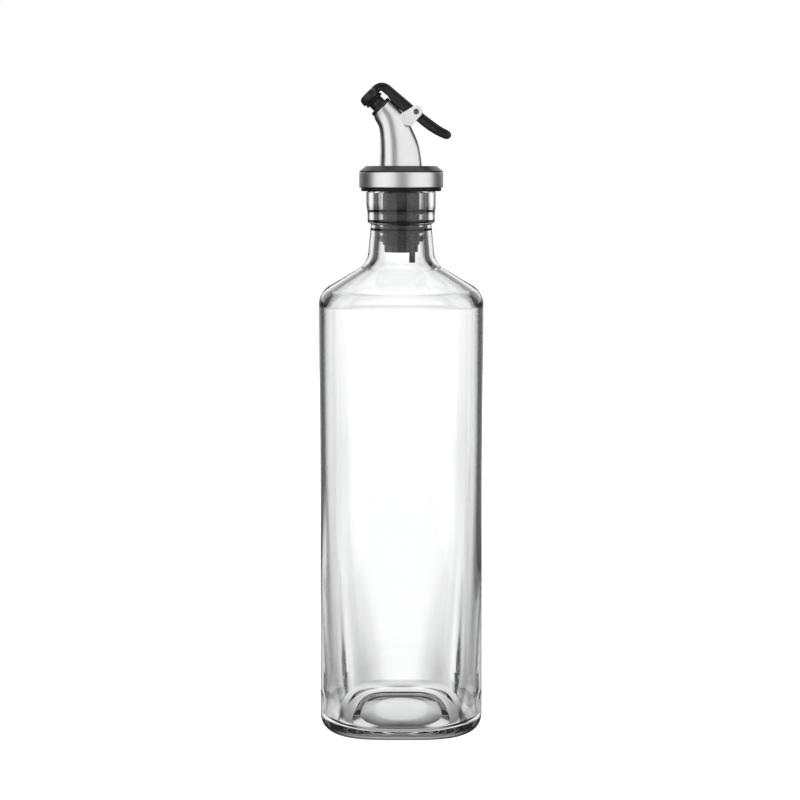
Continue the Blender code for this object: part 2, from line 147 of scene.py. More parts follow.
COIL_R = 1.7
WIRE_R = 0.175
COIL_HALF = 0.6
COIL_TURNS = 2                    # whole turns, before the part turn between the legs
SPOUT_LEG_ANGLE = math.radians(-126.9)
TAIL_LEG_ANGLE = math.radians(-40.5)
SPOUT_LEG = 4.6
TAIL_LEG = 6.4


# ---------------------------------------------------------------- materials

def principled(name, colour, roughness, **sockets):
    made = bpy.data.materials.new(name)
    made.use_nodes = True
    shader = made.node_tree.nodes["Principled BSDF"]
    shader.inputs["Base Color"].default_value = (*colour, 1.0)
    shader.inputs["Roughness"].default_value = roughness
    for key, value in sockets.items():
        shader.inputs[key.replace("_", " ")].default_value = value
    return made


def noise_in(material, scale, detail=3.0, stretch=(1, 1, 1)):
    """A noise over the shared frame, with so many waves to a metre."""
    nodes, links = material.node_tree.nodes, material.node_tree.links
    place = nodes.new("ShaderNodeTexCoord")
    fit = nodes.new("ShaderNodeMapping")
    fit.inputs["Scale"].default_value = stretch
    noise = nodes.new("ShaderNodeTexNoise")
    noise.inputs["Scale"].default_value = scale
    noise.inputs["Detail"].default_value = detail
    links.new(place.outputs["Object"], fit.inputs["Vector"])
    links.new(fit.outputs["Vector"], noise.inputs["Vector"])
    return noise.outputs["Fac"]


def vary(material, socket, source, low, high):
    """Drives one number of the surface from a noise."""
    nodes, links = material.node_tree.nodes, material.node_tree.links
    span = nodes.new("ShaderNodeMapRange")
    span.inputs["From Min"].default_value = 0.3
    span.inputs["From Max"].default_value = 0.7
    span.inputs["To Min"].default_value = low
    span.inputs["To Max"].default_value = high
    links.new(source, span.inputs["Value"])
    links.new(span.outputs["Result"], nodes["Principled BSDF"].inputs[socket])


def shade_colour(material, source, low, high):
    """Shades the colour between two by a noise."""
    nodes, links = material.node_tree.nodes, material.node_tree.links
    ramp = nodes.new("ShaderNodeValToRGB")
    ramp.color_ramp.elements[0].position = 0.3
    ramp.color_ramp.elements[0].color = (*low, 1.0)
    ramp.color_ramp.elements[1].position = 0.7
    ramp.color_ramp.elements[1].color = (*high, 1.0)
    links.new(source, ramp.inputs["Fac"])
    links.new(ramp.outputs["Color"], nodes["Principled BSDF"].inputs["Base Color"])


def bumpy(material, source, depth):
    """Raises the surface by up to depth metres."""
    nodes, links = material.node_tree.nodes, material.node_tree.links
    bump = nodes.new("ShaderNodeBump")
    bump.inputs["Strength"].default_value = 1.0
    bump.inputs["Distance"].default_value = depth
    links.new(source, bump.inputs["Height"])
    links.new(bump.outputs["Normal"], nodes["Principled BSDF"].inputs["Normal"])


def clear_glass():
    made = principled("clear_glass", (0.985, 0.99, 0.988), 0.0,
                      Transmission_Weight=1.0, IOR=1.5)
    bumpy(made, noise_in(made, 45, detail=1.0, stretch=(1, 1, 0.45)), 0.00003)
    return made


def brushed_steel():
    """Brushing lines run round the band."""
    made = principled("brushed_steel", (0.91, 0.91, 0.92), 0.38, Metallic=1.0)
    lines = noise_in(made, 40, detail=4.0, stretch=(1, 1, 120))
    vary(made, "Roughness", lines, 0.34, 0.42)
    shade_colour(made, lines, (0.88, 0.88, 0.89), (0.94, 0.94, 0.95))
    bumpy(made, lines, 0.0000006)
    return made


def spout_metal():
    made = principled("spout_metal", (0.84, 0.84, 0.85), 0.27, Metallic=1.0)
    blotch = noise_in(made, 160, detail=2.0)
    vary(made, "Roughness", blotch, 0.28, 0.34)
    shade_colour(made, blotch, (0.81, 0.81, 0.82), (0.87, 0.87, 0.88))
    bumpy(made, noise_in(made, 200, detail=1.0), 0.000001)
    return made


def ear_metal():
    """Flat and matt, as tumbled castings are."""
    made = principled("ear_metal", (0.8, 0.8, 0.8), 0.6, Metallic=0.5)
    speckle = noise_in(made, 1500, detail=3.0)
    vary(made, "Roughness", speckle, 0.52, 0.68)
    shade_colour(made, speckle, (0.76, 0.76, 0.77), (0.84, 0.84, 0.84))
    bumpy(made, speckle, 0.00001)
    return made


def black_plastic():
    made = principled("black_plastic", (0.01, 0.01, 0.011), 0.3, Specular_IOR_Level=0.45)
    vary(made, "Roughness", noise_in(made, 300, detail=2.0), 0.26, 0.36)
    grain = noise_in(made, 2600, detail=2.0)
    shade_colour(made, grain, (0.007, 0.007, 0.008), (0.014, 0.014, 0.015))
    bumpy(made, grain, 0.000008)
    return made


def black_rubber():
    made = principled("black_rubber", (0.008, 0.008, 0.008), 0.3, Specular_IOR_Level=0.2)
    vary(made, "Roughness", noise_in(made, 500, detail=2.0), 0.22, 0.36)
    grain = noise_in(made, 1800, detail=3.0)
    shade_colour(made, grain, (0.005, 0.005, 0.005), (0.012, 0.012, 0.012))
    bumpy(made, grain, 0.000003)
    return made


def pin_steel():
    made = principled("pin_steel", (0.2, 0.2, 0.21), 0.35, Metallic=1.0)
    turning = noise_in(made, 900, detail=3.0)
    vary(made, "Roughness", turning, 0.3, 0.45)
    shade_colour(made, turning, (0.13, 0.13, 0.14), (0.24, 0.24, 0.25))
    return made


def spring_steel():
    made = principled("spring_steel", (0.6, 0.6, 0.61), 0.25, Metallic=1.0)
    vary(made, "Roughness", noise_in(made, 1200, detail=2.0), 0.2, 0.35)
    return made


# ---------------------------------------------------------------- outlines

def arc(centre, radius, start, end, steps):
    """Points (x, z) round a centre, from one angle to another."""
    return [
        (centre[0] + radius * math.cos(start + (end - start) * i / steps),
         centre[1] + radius * math.sin(start + (end - start) * i / steps))
        for i in range(steps + 1)
    ]


def rounded(corners, step=FINE):
    """An open outline through (x, z, radius) corners, with each radius turned as an arc."""
    points = [corners[0][:2]]
    for before, corner, after in zip(corners, corners[1:], corners[2:]):
        at = Vector(corner[:2])
        back = (Vector(before[:2]) - at).normalized()
        on = (Vector(after[:2]) - at).normalized()
        inside = back.angle(on)
        if corner[2] == 0 or inside > math.pi - 0.001:
            points.append(tuple(at))
            continue
        centre = at + (back + on).normalized() * corner[2] / math.sin(inside / 2)
        reach = corner[2] / math.tan(inside / 2)
        first, last = at + back * reach - centre, at + on * reach - centre
        start = math.atan2(first.y, first.x)
        turn = first.angle_signed(last) * -1
        points += arc(centre, corner[2], start, start + turn,
                      max(1, math.ceil(abs(turn) / step)))
    return points + [corners[-1][:2]]


def smooth_through(points, steps=8):
    """A Catmull-Rom curve through points with any number of values each."""
    ends = [points[0]] + list(points) + [points[-1]]
    out = []
    for a, b, c, d in zip(ends, ends[1:], ends[2:], ends[3:]):
        for i in range(steps):
            t = i / steps
            out.append(tuple(
                0.5 * (2 * q + (r - p) * t + (2 * p - 5 * q + 4 * r - s) * t * t
                       + (3 * q - p - 3 * r + s) * t ** 3)
                for p, q, r, s in zip(a, b, c, d)))
    return out + [tuple(points[-1])]


# ---------------------------------------------------------------- builders

def finished(name, shape, material, sharp=35):
    """A mesh object from a bmesh, with smooth faces and sharp edges where it turns fast."""
    bmesh.ops.recalc_face_normals(shape, faces=shape.faces)
    mesh = bpy.data.meshes.new(name)
    shape.to_mesh(mesh)
    shape.free()
    return shown(name, mesh, material, sharp)


def shown(name, mesh, material, sharp=35):
    """Puts a mesh in the scene, with one material, or none on a piece that only cuts."""
    mesh.materials.clear()
    if material is not None:
        mesh.materials.append(material)
    mesh.shade_smooth()
    mesh.set_sharp_from_angle(angle=math.radians(sharp))
    made = bpy.data.objects.new(name, mesh)
    bpy.context.scene.collection.objects.link(made)
    return made


def lofted(name, rings, material, hollow=False, sharp=35):
    """Faces between rings of points. A hollow one joins its last ring to its first, and a
    solid one is capped."""
    shape = bmesh.new()
    rows = [[shape.verts.new(Vector(p) * MM) for p in ring] for ring in rings]
    pairs = list(zip(rows, rows[1:]))
    if hollow:
        pairs.append((rows[-1], rows[0]))
    else:
        shape.faces.new(rows[0])
        shape.faces.new(rows[-1])
    for low, high in pairs:
        for i, here in enumerate(low):
            j = (i + 1) % len(low)
            shape.faces.new((here, low[j], high[j], high[i]))
    return finished(name, shape, material, sharp)


AXIS = Matrix.Identity(4)
MOUTH_AXIS = Matrix.Translation(MOUTH) @ Matrix.Rotation(math.radians(-45), 4, "Y")


def turned(name, profile, material, axis=AXIS, around=AROUND, sharp=35):
    """A (radius, z) profile turned round an axis. One that keeps off the axis is a loop."""
    shape = bmesh.new()
    rows = []
    for r, z in profile:
        if r == 0:
            rows.append([shape.verts.new((axis @ Vector((0, 0, z))) * MM)] * around)
            continue
        rows.append([
            shape.verts.new((axis @ Vector((r * math.cos(math.tau * i / around),
                                            r * math.sin(math.tau * i / around), z))) * MM)
            for i in range(around)])
    pairs = list(zip(rows, rows[1:]))
    if all(r > 0 for r, _ in profile):
        pairs.append((rows[-1], rows[0]))
    for low, high in pairs:
        for i in range(around):
            j = (i + 1) % around
            corners = dict.fromkeys((low[i], low[j], high[j], high[i]))
            shape.faces.new(list(corners))
    made = finished(name, shape, material, sharp)
    return weighted(made)


def weighted(made):
    """Keeps broad faces flat next to their rounded edges."""
    change = made.modifiers.new("weighted", "WEIGHTED_NORMAL")
    change.keep_sharp = True
    return made


def baked(made):
    """Applies the modifiers of an object."""
    bpy.context.view_layer.update()
    graph = bpy.context.evaluated_depsgraph_get()
    mesh = bpy.data.meshes.new_from_object(made.evaluated_get(graph))
    name, material = made.name, made.data.materials[0] if made.data.materials else None
    mesh.transform(made.matrix_world)
    bpy.data.objects.remove(made)
    return weighted(shown(name, mesh, material))


def plate(name, outlines, half, material, middle=0.0, bevel=0.0, grow=0.0):
    """A flat piece from closed (x, z) outlines, half thick each way from y = middle. Its
    edges are rounded by bevel, and its outlines are moved out by grow."""
    curve = bpy.data.curves.new(name, "CURVE")
    curve.dimensions = "2D"
    curve.fill_mode = "BOTH"
    curve.extrude = (half - bevel) * MM
    curve.bevel_depth = bevel * MM
    curve.bevel_resolution = 3
    curve.offset = (grow - bevel) * MM
    for outline in outlines:
        spline = curve.splines.new("POLY")
        spline.points.add(len(outline) - 1)
        spline.use_cyclic_u = True
        for point, (x, z) in zip(spline.points, outline):
            point.co = (x * MM, z * MM, 0.0, 1.0)
    flat = bpy.data.objects.new(name, curve)
    bpy.context.scene.collection.objects.link(flat)
    flat.location = (0.0, middle * MM, 0.0)
    flat.rotation_euler = (math.radians(90), 0.0, 0.0)
    bpy.context.view_layer.update()
    matrix = flat.matrix_world.copy()
    graph = bpy.context.evaluated_depsgraph_get()
    mesh = bpy.data.meshes.new_from_object(flat.evaluated_get(graph))
    bpy.data.objects.remove(flat)
    shape = bmesh.new()
    shape.from_mesh(mesh)
    shape.transform(matrix)
    bmesh.ops.remove_doubles(shape, verts=shape.verts, dist=0.000002)
    bmesh.ops.dissolve_degenerate(shape, edges=shape.edges, dist=0.000002)
    return weighted(finished(name, shape, material))


def cut(made, other, operation="DIFFERENCE"):
    """Cuts an object with another, or joins it to it, and removes the other."""
    made.modifiers.clear()
    change = made.modifiers.new("cut", "BOOLEAN")
    change.operation = operation
    change.object = other
    change.solver = "MANIFOLD"
    made = baked(made)
    bpy.data.objects.remove(other)
    return made


def pin_axis(y=0.0):
    return Matrix.Translation(PIN + Vector((0, y, 0))) @ Matrix.Rotation(
        math.radians(90), 4, "X")


def bar(name, radius, half):
    """A round bar on the lever's pin axis, to cut with."""
    return turned(name, [(0, half), (radius, half), (radius, -half), (0, -half)], None,
                  axis=pin_axis(), around=48)


def fit(made, body, node, slot):
    """Seats a finished piece on its body and hides the CAD node it stands for. Its finish, slot,
    is not used.
    """
    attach(made, body)
    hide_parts(node)
    return made


# ---------------------------------------------------------------- glass

def glass_ring(half, z, power):
    """A level ring of the bottle: a rounded square of a half width, squarer with more power."""
    ring = []
    for i in range(GLASS_AROUND):
        angle = math.tau * i / GLASS_AROUND
        c, s = math.cos(angle), math.sin(angle)
        reach = half / (abs(c) ** power + abs(s) ** power) ** (1 / power)
        ring.append((reach * c, reach * s, z))
    return ring


def squareness(half):
    """Round at the neck's width, and squarer the wider the section is."""
    share = min(max((half - NECK_ROOT[0]) / (SQUARE_HALF - NECK_ROOT[0]), 0.0), 1.0)
    return 2.0 + (SQUARENESS - 2.0) * share * share * (3.0 - 2.0 * share)


def inner_squareness(half, z):
    """The inside is rounder, most of all near the base, where the corners are thick."""
    share = min(max(1.0 - (z - FLOOR_Z) / THICK_CORNERS_Z, 0.0), 1.0)
    power = squareness(half) - 0.2 - 0.7 * share * share * (3.0 - 2.0 * share)
    return max(power, 2.0)


def bottle_glass():
    """Both outlines run in the XZ plane, across two flat sides. The outside goes down from the
    rim to under the base, and the inside goes up from the floor to the rim."""
    side = smooth_through([(SHOULDER_HALF, 160.0), (WAIST_HALF, 110.0),
                           ((WAIST_HALF + HEEL_HALF) / 2, 60.0), (HEEL_HALF, 12.0)], steps=10)
    outside = rounded([
        (BORE_R, GLASS_TOP, 0),
        (FINISH_R, GLASS_TOP, 0.9),
        (FINISH_R, 215.6, 8),
        (FINISH_LOW_R, 212.2, 8),
        (FINISH_LOW_R, FINISH_Z, 1.0),
        (NECK_TOP_R, FINISH_Z - 0.4, 0.6),
        (13.3, 197.5, 12),
        (*NECK_ROOT, 9),
        (SHOULDER_HALF, SHOULDER_Z, 7),
        side[0],
    ])
    outside += side[1:-1]
    outside += rounded([
        side[-1],
        (HEEL_HALF, 0.0, 4.6),
        (23.6, 0.0, 0.8),
        (20.4, 1.1, 2.0),
        (14.0, PUSH_UP, 20.0),
        (2.0, PUSH_UP, 0),
    ])
    wall_side = smooth_through([(SHOULDER_HALF - WALL, 160.0), (WAIST_HALF - WALL, 110.0),
                                (WAIST_HALF - WALL - 0.1, 60.0),
                                (HEEL_HALF - WALL - 0.8, 22.0)], steps=8)
    inside = rounded([
        (2.0, FLOOR_Z, 0),
        (HEEL_HALF - WALL - 1.2, FLOOR_Z, 3.2),
        wall_side[-1],
    ])
    inside += list(reversed(wall_side))[1:-1]
    inside += rounded([
        wall_side[0],
        (SHOULDER_HALF - WALL - 0.1, SHOULDER_Z - 2.0, 6.5),
        (BORE_R + 1.0, NECK_ROOT[1] - 1.6, 10),
        (BORE_R, 203.0, 12),
        (BORE_R, GLASS_TOP - 0.6, 0),
        (BORE_R + 0.6, GLASS_TOP, 0),
    ])[:-1]
    rings = [glass_ring(half, z, squareness(half)) for half, z in reversed(outside)]
    rings += [glass_ring(half, z, inner_squareness(half, z)) for half, z in reversed(inside)]
    made = lofted("bottle_glass", rings, clear_glass(), sharp=60)
    return fit(made, "bottle", "glass_bottle", "clear_glass")


# ---------------------------------------------------------------- collar and plug

def rim_washer(material):
    low, high = GLASS_TOP + 0.02, BAND_LOW.z + 0.1
    made = turned("rim_washer", rounded([
        (CORE_R, high, 0), (WASHER_R, high, 0.6), (WASHER_R, low, 0.6), (CORE_R, low, 0)]),
        material)
    return fit(made, "pourer", "seal_washer", "black_rubber")


def steel_band(material):
    low, high = BAND_LOW.z, BAND_HIGH.z
    lip, sheet = BAND_R - 1.2, 0.45
    made = turned("steel_band", rounded([
        (BAND_R - sheet, high, 0), (BAND_R, high, 0.2), (BAND_R, low, 0.35), (lip, low, 0.1),
        (lip, low + sheet, 0), (BAND_R - sheet, low + sheet, 0.45),
        (BAND_R - sheet, high, 0)])[:-1], material)
    return fit(made, "pourer", "collar_band", "brushed_steel")


def collar_top(material):
    high, seat = CAP_HIGH.z, BAND_HIGH.z
    made = turned("collar_top", rounded([
        (CORE_R - 0.5, high, 0), (CAP_TOP_R, high, 0.5), (BAND_R - 0.05, seat + 0.45, 0.35),
        (BAND_R - 0.1, seat + 0.03, 0), (BAND_R - 0.5, seat + 0.03, 0),
        (BAND_R - 0.5, BAND_LOW.z + 0.4, 0), (CORE_R - 0.5, BAND_LOW.z + 0.4, 0)]), material)
    return fit(made, "pourer", "collar_cap", "black_plastic")


def stopper_core(material):
    low, step = CORE_LOW.z, CORE_STEP_Z
    made = turned("stopper_core", rounded([
        (0, CORE_HIGH.z, 0), (CORE_R, CORE_HIGH.z, 0), (CORE_R, step, 0),
        (CORE_FOOT_R, step, 0.2), (CORE_FOOT_R, low, 0.4), (0, low, 0)]), material)
    oil_axis = Matrix.Translation((NOZZLE_X, 0, 0))
    for axis, radius in ((oil_axis, NOZZLE_R + 0.5), (AIR_AXIS, AIR_R + 0.05)):
        top, bottom = CORE_HIGH.z + 1, low - 1
        made = cut(made, turned("bore", [(0, top), (radius, top), (radius, bottom),
                                         (0, bottom)], None, axis, around=48))
    return fit(made, "pourer", "plug_core", "black_plastic")


def finned_sleeve(material):
    """Each fin is thin and bends up where the bore squeezes it."""
    low, high = CORE_STEP_Z, GLASS_TOP
    profile = [(CORE_R, high), (SLEEVE_R, high)]
    for root in FIN_ROOTS_Z:
        edge = root + FIN_RISE
        over = smooth_through([(SLEEVE_R, root + 0.75), (SLEEVE_R + 1.3, root + 1.15),
                               (FIN_R - 0.12, edge + 0.12)], steps=5)
        under = smooth_through([(FIN_R, edge - 0.25), (SLEEVE_R + 1.4, root + 0.6),
                                (SLEEVE_R, root)], steps=5)
        profile += over + under
    profile += [(SLEEVE_R, low), (CORE_R, low)]
    made = turned("finned_sleeve", profile, material)
    return fit(made, "pourer", "stopper_sleeve", "black_rubber")


def vent_tube(material):
    bore = AIR_R - 0.5
    made = turned("vent_tube", rounded([
        (bore, AIR_HIGH.z, 0), (AIR_R, AIR_HIGH.z, 0), (AIR_R, AIR_LOW.z, 0.12),
        (bore, AIR_LOW.z, 0)]), material, AIR_AXIS, around=48)
    return fit(made, "pourer", "air_tube", "black_plastic")


# ---------------------------------------------------------------- spout

def spout_stations():
    """(front x, front z, back x, back z, half width, egg) up the spout. Egg is how much
    blunter its front is than its back."""
    across = Vector((math.sqrt(0.5), math.sqrt(0.5))) * MOUTH_R
    front, back = Vector((MOUTH.x, MOUTH.z)) - across, Vector((MOUTH.x, MOUTH.z)) + across
    foot = CAP_HIGH.z - 0.1
    return smooth_through([
        (-8.75, foot, 8.42, foot, 6.7, 0.42),
        (-8.50, 235.6, 7.80, 235.8, 6.2, 0.42),
        (-8.40, 240.0, 6.75, 240.6, 5.7, 0.40),
        (-8.55, 243.8, 5.10, 244.6, 5.3, 0.34),
        (-8.95, 246.6, 3.30, 248.3, 5.0, 0.24),
        (-9.75, 248.3, 0.90, 251.8, 4.8, 0.12),
        (-10.50, 249.6, -1.75, 254.75, 4.6, 0.04),
        (front.x, front.y, back.x, back.y, MOUTH_R, 0.0),
    ], steps=10)


def egg_ring(station, inset=0.0, around=AROUND):
    front_x, front_z, back_x, back_z, half, egg = station
    front, back = Vector((front_x, front_z)), Vector((back_x, back_z))
    middle, reach = (front + back) / 2, (back - front) / 2
    reach *= (reach.length - inset) / reach.length
    widest = max(math.sin(a) * (1 + egg * math.cos(a))
                 for a in (math.pi * i / 180 for i in range(181)))
    ring = []
    for i in range(around):
        angle = math.tau * i / around
        along = -math.cos(angle)
        side = math.sin(angle) * (1 - egg * along) / widest
        at = middle + reach * along
        ring.append((at.x, (half - inset) * side, at.y))
    return ring


def round_ring(middle, direction, radius, around=AROUND):
    """A ring square to a direction, starting on its front side as the egg rings do."""
    front = Vector((-direction.z, 0, direction.x))
    return [middle + front * radius * math.cos(math.tau * i / around)
            + Vector((0, radius * math.sin(math.tau * i / around), 0))
            for i in range(around)]


def metal_spout(material):
    stations = spout_stations()
    rings = [egg_ring(s) for s in stations[:-2]]
    for along, radius in ((-0.3, MOUTH_R), (-0.08, MOUTH_R - 0.07), (0.0, MOUTH_R - 0.28),
                          (0.0, MOUTH_R - SPOUT_WALL), (-0.6, MOUTH_R - SPOUT_WALL)):
        rings.append(round_ring(MOUTH + AIM * along, AIM, radius))
    rings += [egg_ring(s, inset=SPOUT_WALL) for s in reversed(stations[:-2])]
    made = lofted("metal_spout", rings, material, hollow=True)
    return fit(made, "pourer", "spout_shell", "spout_metal")


def ear_outline():
    """Round the pin, and back into the spout's flank."""
    round_end = arc((PIN.x, PIN.z), EAR_R, math.radians(-46), math.radians(122), 40)
    return round_end + [(-2.6, 250.2), (0.0, 247.4), (3.9, 247.1)]


def spout_ears(material):
    hole = list(reversed(arc((PIN.x, PIN.z), PIN_R + 0.02, 0.0, math.tau * 47 / 48, 47)))
    for name, side in (("near_ear", -1), ("far_ear", 1)):
        made = plate(name, [ear_outline(), hole], (EAR_Y[1] - EAR_Y[0]) / 2, material,
                     middle=side * (EAR_Y[0] + EAR_Y[1]) / 2, bevel=0.12)
        fit(made, "pourer", "spout_shell", "spout_metal")


def nozzle_line(steps=24):
    """(middle, direction) from the foot of the nozzle, round its bend, to the mouth."""
    turn = math.radians(45)
    lead = (NOZZLE_X - MOUTH.x - NOZZLE_BEND_R * (1 - math.cos(turn))) / math.sin(turn)
    bend_z = MOUTH.z - NOZZLE_BEND_R * math.sin(turn) - lead * math.cos(turn)
    line = [(Vector((NOZZLE_X, 0, size_of("pour_nozzle")[0].z)), Vector((0, 0, 1)))]
    for i in range(steps + 1):
        a = turn * i / steps
        middle = Vector((NOZZLE_X - NOZZLE_BEND_R * (1 - math.cos(a)), 0,
                         bend_z + NOZZLE_BEND_R * math.sin(a)))
        line.append((middle, Vector((-math.sin(a), 0, math.cos(a)))))
    return line


def lined_nozzle(material):
    line = nozzle_line()
    rings = [round_ring(m, d, NOZZLE_R) for m, d in line]
    outer = rounded([(NOZZLE_R, 0.02, 0), (FLANGE_R, 0.02, 0.25), (FLANGE_R, 1.35, 0.35),
                     (NOZZLE_R, 1.45, 0.3), (NOZZLE_R, TIP_END, 0.35),
                     (NOZZLE_BORE_R, TIP_END, 0.2), (NOZZLE_BORE_R, TIP_END - 1, 0)],
                    step=math.radians(18))
    rings += [round_ring(MOUTH + AIM * at, AIM, radius) for radius, at in outer]
    rings += [round_ring(m, d, NOZZLE_BORE_R) for m, d in reversed(line)]
    made = lofted("lined_nozzle", rings, material, hollow=True)
    return fit(made, "pourer", "pour_nozzle", "black_plastic")


def lever_pin(material):
    """Its ends are chamfered round a small centre dimple."""
    end = [(0, PIN_HALF - 0.12), (0.25, PIN_HALF - 0.1), (0.42, PIN_HALF),
           (PIN_R - 0.2, PIN_HALF), (PIN_R, PIN_HALF - 0.2)]
    made = turned("lever_pin", end + [(r, -y) for r, y in reversed(end)], material,
                  pin_axis(), around=64)
    return fit(made, "pourer", "hinge_pin", "pin_steel")


# ---------------------------------------------------------------- lever

def lever_outline():
    """The lever seen from the side, from inside its head, over the arm, round the tail and
    back under the pin to the head."""
    over = rounded([(-13.3, 260.7, 0), (-8.1, 266.05, 5.0), (4.8, 255.2, 0)])
    tail_top = smooth_through([(6.6, 253.7), (8.75, 252.1), (12.5, 249.25),
                               (16.1, 246.75), (19.0, 245.25)])
    tip = arc((18.5, 243.5), 1.65, math.radians(70), math.radians(-100), 28)
    tail_under = smooth_through([(17.3, 242.05), (13.8, 243.7), (9.7, 246.3),
                                 (6.0, 249.3)])
    under = rounded([(6.0, 249.3, 0), (1.1, 252.2, 1.0), (-1.7, 254.6, 4.0),
                     (-4.45, 257.4, 0), (-5.5, 259.1, 0), (-8.3, 261.3, 0.8),
                     (-11.2, 258.6, 0)])
    return over + tail_top + tip + tail_under + under[1:]


def slot_outline():
    """The slot that holds the spring: round the coil, and open underneath for its legs."""
    tail = Vector((math.cos(TAIL_LEG_ANGLE), math.sin(TAIL_LEG_ANGLE)))
    under = Vector((tail.y, -tail.x))
    pin = Vector((PIN.x, PIN.z))
    ceiling, slot_r = 1.2, 2.25
    near = math.sqrt(slot_r ** 2 - ceiling ** 2)
    start = TAIL_LEG_ANGLE - math.atan2(ceiling, near)
    far = pin + tail * (TAIL_LEG + 0.8) + under * ceiling
    around = arc(pin, slot_r, start, math.radians(190), 40)
    return around + [(3.6, 246.0), tuple(far + under * 3.4), tuple(far)]


def thumb_lever(material):
    outline = lever_outline()
    made = plate("thumb_lever", [outline], LEVER_HALF, material, bevel=0.7)
    for side in (-1, 1):
        made = cut(made, plate("recess", [outline], 0.7, None, grow=-1.1,
                               middle=side * (LEVER_HALF + 0.35)))
    made = cut(made, bar("boss", 2.2, LEVER_HALF), "UNION")
    made = cut(made, plate("spring_slot", [slot_outline()], 1.05, None))
    made = cut(made, bar("pin_hole", PIN_R + 0.03, 6.0))
    return fit(made, "lever", "lever", "black_plastic")


def lever_head(material):
    low, high = HEAD_AT
    made = turned("lever_head", rounded([
        (0, high, 0), (HEAD_R - 0.35, high, 1.5), (HEAD_R, low + 1.5, 0.6),
        (HEAD_R, low, 0.45), (0, low, 0)]), material, MOUTH_AXIS)
    return fit(made, "lever", "lever", "black_plastic")


def tip_seal(material):
    low, high = SEAL_AT
    made = turned("tip_seal", rounded([
        (0, high, 0), (SEAL_R - 0.4, high, 0), (SEAL_R - 0.4, high - 0.3, 0),
        (SEAL_R, high - 0.4, 0.15), (SEAL_R, low, 0.25), (0, low, 0)]), material, MOUTH_AXIS)
    return fit(made, "lever", "lever_seal", "black_rubber")


# ---------------------------------------------------------------- spring

def in_plane(angle, length):
    """A step in the XZ plane, at an angle above +X."""
    return Vector((math.cos(angle), 0, math.sin(angle))) * length


def spring_line():
    """The wire's middle: up the leg on the spout, round the coil, and out along the tail."""
    first = SPOUT_LEG_ANGLE + math.radians(90)
    last = TAIL_LEG_ANGLE - math.radians(90) + math.tau * (COIL_TURNS + 1)
    steps = math.ceil((last - first) / math.radians(8))
    coil = []
    for i in range(steps + 1):
        share = i / steps
        across = Vector((0, COIL_HALF * (2 * share - 1), 0))
        coil.append(PIN + in_plane(first + (last - first) * share, COIL_R) + across)
    spout_leg = [coil[0] + in_plane(SPOUT_LEG_ANGLE, SPOUT_LEG * i / 3) for i in (3, 2, 1)]
    tail_leg = [coil[-1] + in_plane(TAIL_LEG_ANGLE, TAIL_LEG * i / 3) for i in (1, 2, 3)]
    return spout_leg + coil + tail_leg


def torsion_spring(material):
    wire = bpy.data.curves.new("torsion_spring", "CURVE")
    wire.dimensions = "3D"
    wire.bevel_depth = WIRE_R * MM
    wire.bevel_resolution = 4
    wire.use_fill_caps = True
    points = spring_line()
    spline = wire.splines.new("POLY")
    spline.points.add(len(points) - 1)
    for point, at in zip(spline.points, points):
        point.co = (*(at * MM), 1.0)
    loose = bpy.data.objects.new("torsion_spring", wire)
    bpy.context.scene.collection.objects.link(loose)
    made = baked(loose)
    made.data.materials.clear()
    made.data.materials.append(material)
    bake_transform(made)
    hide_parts("return_spring")
    return made


# ---------------------------------------------------------------- stage, lights and camera

def floor():
    """A pale disc that only the camera and matt surfaces see."""
    mesh = bpy.data.meshes.new("floor")
    shape = bmesh.new()
    bmesh.ops.create_circle(shape, cap_ends=True, segments=96, radius=1.2)
    shape.to_mesh(mesh)
    shape.free()
    pale = principled("pale_floor", (0.92, 0.92, 0.92), 0.9, Emission_Strength=0.9)
    pale.node_tree.nodes["Principled BSDF"].inputs["Emission Color"].default_value = (1, 1, 1, 1)
    mesh.materials.append(pale)
    made = bpy.data.objects.new("floor", mesh)
    made.visible_glossy = False
    made.visible_transmission = False
    bpy.context.scene.collection.objects.link(made)


def soft_light(name, bearing, distance, width, low, high, radiance):
    """An upright soft box at a bearing from the camera's side, in degrees, facing the
    bottle. Radiance is what it sends out, with 1 as white. Reflections show it, and the
    world does the lighting that is seen through the glass."""
    light = bpy.data.lights.new(name, "AREA")
    light.shape = "RECTANGLE"
    light.size, light.size_y = width, high - low
    light.energy = radiance * math.pi * width * (high - low)
    made = bpy.data.objects.new(name, light)
    bpy.context.scene.collection.objects.link(made)
    a = math.radians(bearing)
    made.location = (distance * math.sin(a), -distance * math.cos(a), (low + high) / 2)
    made.rotation_euler = (math.radians(90), 0.0, a)
    made.visible_camera = False
    made.visible_transmission = False
    return made


def lights():
    """Soft boxes at both sides, in front, behind and above, and a key light in front that
    brightens matt surfaces but isn't reflected."""
    soft_light("left_box", -48, 1.1, 1.5, -0.2, 1.4, 1.05)
    soft_light("right_box", 56, 1.1, 1.7, -0.2, 1.4, 1.0)
    soft_light("front_fill", 0, 1.4, 0.6, 0.0, 1.2, 0.3)
    key = soft_light("front_key", 0, 1.5, 1.2, 0.2, 1.2, 1.6)
    key.visible_glossy = False
    soft_light("high_back", 180, 1.2, 2.4, 0.25, 1.6, 0.9)
    top = soft_light("top_box", 0, 0.0, 1.4, 0.0, 1.4, 1.2)
    top.location = (0.0, 0.3, 1.4)
    top.rotation_euler = (0.0, 0.0, 0.0)


